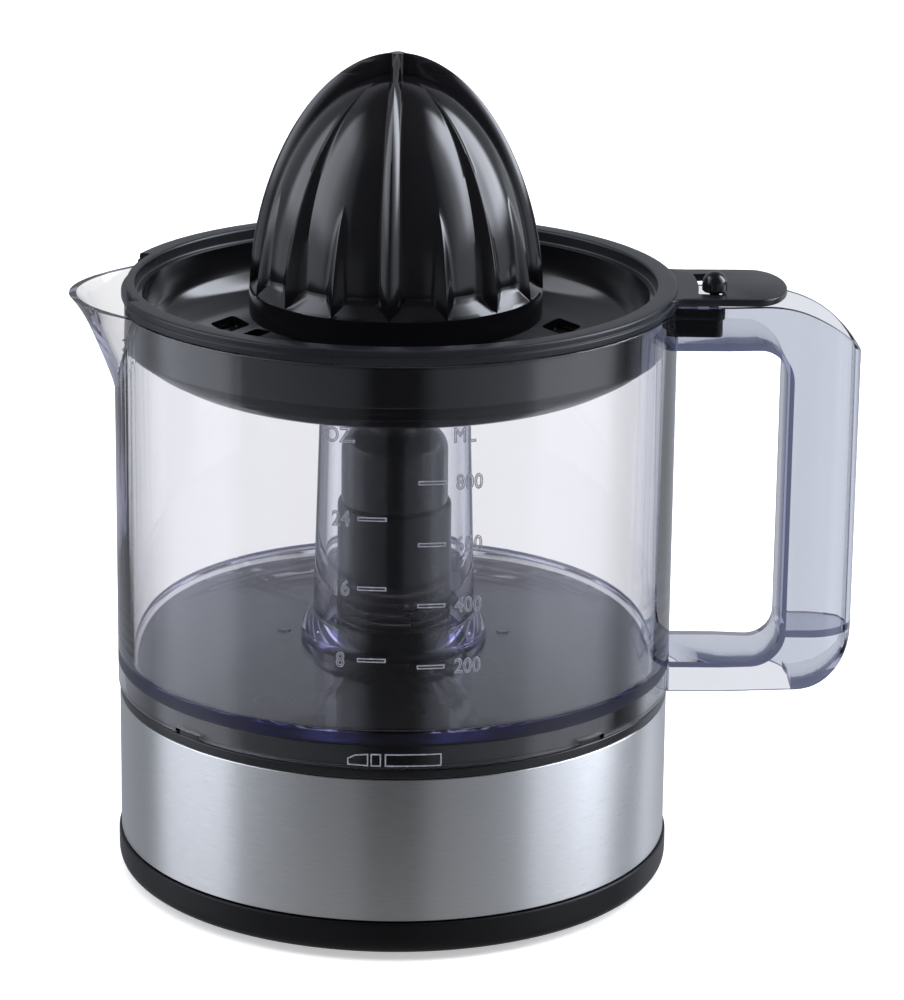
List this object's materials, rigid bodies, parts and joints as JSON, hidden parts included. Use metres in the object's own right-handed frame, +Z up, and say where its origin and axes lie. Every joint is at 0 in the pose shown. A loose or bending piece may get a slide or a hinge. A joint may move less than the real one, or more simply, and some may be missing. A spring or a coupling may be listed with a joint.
{
  "type": "citrus press juicer",
  "caption": "Electric citrus juicer: motor base with a steel band, clear spouted jug with a hollow handle, lift-out strainer with pulp control, nested reamer cones.",
  "frame": {"origin": "middle of the overall width and depth, on the plane the feet stand on", "axes": "+Z up, +X towards the handle, the spout on -X; the base's, jug's and cones' common axis is the vertical line x = -0.0169 m, y = 0"},
  "size_m": [0.1916, 0.1366, 0.2044],
  "materials": {
    "gloss_black_plastic": "high gloss moulded",
    "satin_black_plastic": "satin moulded",
    "clear_jug_plastic": "clear, polished, faint lavender tint",
    "brushed_band": "brushed round the band",
    "plain_steel": "bright",
    "pressed_steel": "dull pressed sheet",
    "bearing_brass": "plain",
    "coil_winding": "enamelled copper wire",
    "natural_nylon": "satin",
    "black_rubber": "matt",
    "switch_button": "satin"
  },
  "bodies": {
    "base": {"base_housing": "satin_black_plastic", "tower_cap": "satin_black_plastic", "upper_bush": "bearing_brass", "shaft_seal": "black_rubber", "steel_band": "brushed_band", "base_cover": "satin_black_plastic", "foot_1": "black_rubber", "foot_2": "black_rubber", "foot_3": "black_rubber", "foot_4": "black_rubber", "cover_screw_1": "plain_steel", "cover_screw_2": "plain_steel", "cover_screw_3": "plain_steel", "cover_screw_4": "plain_steel", "inlet_bush": "black_rubber", "gearbox_plate": "pressed_steel", "plate_screw_1": "plain_steel", "plate_screw_2": "plain_steel", "plate_screw_3": "plain_steel", "lower_bush": "bearing_brass", "idler_axle": "plain_steel", "motor_core": "pressed_steel", "motor_coil": "coil_winding", "motor_bracket": "pressed_steel", "motor_bush": "bearing_brass", "motor_screw_1": "plain_steel", "motor_screw_2": "plain_steel", "switch_body": "satin_black_plastic"},
    "rotor": {"motor_rotor": "pressed_steel", "motor_shaft": "plain_steel", "motor_pinion": "bearing_brass"},
    "idler": {"compound_gear": "natural_nylon"},
    "output": {"output_gear": "natural_nylon", "return_spring": "plain_steel"},
    "spindle": {"drive_shaft": "plain_steel", "shaft_clip": "plain_steel", "spring_collar": "bearing_brass"},
    "plunger": {"switch_plunger": "switch_button"},
    "jug_body": {"jug": "clear_jug_plastic"},
    "strainer_body": {"strainer": "gloss_black_plastic"},
    "pulp_control": {"pulp_ring": "gloss_black_plastic", "pulp_knob": "gloss_black_plastic"},
    "inner_cone": {"small_cone": "gloss_black_plastic"},
    "outer_cone": {"large_cone": "gloss_black_plastic"}
  },
  "joints": [
    {"name": "jug_lift", "type": "slide", "parent": "base", "child": "jug_body", "axis": [0, 0, 1], "range_m": [0, 0.1]},
    {"name": "strainer_lift", "type": "slide", "parent": "jug_body", "child": "strainer_body", "axis": [0, 0, 1], "range_m": [0, 0.05]},
    {"name": "pulp_adjust", "type": "hinge", "parent": "strainer_body", "child": "pulp_control", "pos_m": [-0.0169, 0, 0.13], "axis": [0, 0, 1], "range_deg": [0, 12.2]},
    {"name": "cone_spin", "type": "hinge", "parent": "strainer_body", "child": "inner_cone", "pos_m": [-0.0169, 0, 0.15], "axis": [0, 0, 1], "continuous": true},
    {"name": "cone_lift", "type": "slide", "parent": "inner_cone", "child": "outer_cone", "axis": [0, 0, 1], "range_m": [0, 0.065]},
    {"name": "output_spin", "type": "hinge", "parent": "base", "child": "output", "pos_m": [-0.0169, 0, 0.04], "axis": [0, 0, 1], "continuous": true},
    {"name": "shaft_press", "type": "slide", "parent": "output", "child": "spindle", "axis": [0, 0, -1], "range_m": [0, 0.0025], "stiffness_N_per_m": 800, "springref_m": -0.006, "deforming": ["return_spring"]},
    {"name": "plunger_press", "type": "slide", "parent": "base", "child": "plunger", "axis": [0, 0, -1], "range_m": [0, 0.0025]},
    {"name": "idler_spin", "type": "hinge", "parent": "base", "child": "idler", "pos_m": [-0.0169, 0.028, 0.036], "axis": [0, 0, 1], "continuous": true},
    {"name": "rotor_spin", "type": "hinge", "parent": "base", "child": "rotor", "pos_m": [-0.04039, 0.01945, 0.02], "axis": [0, 0, 1], "continuous": true}
  ],
  "couplings": [
    {"joint": "output_spin", "follows": "cone_spin", "ratio": 1},
    {"joint": "idler_spin", "follows": "cone_spin", "ratio": -3.6667},
    {"joint": "rotor_spin", "follows": "cone_spin", "ratio": 11.611},
    {"joint": "plunger_press", "follows": "shaft_press", "ratio": 1}
  ]
}
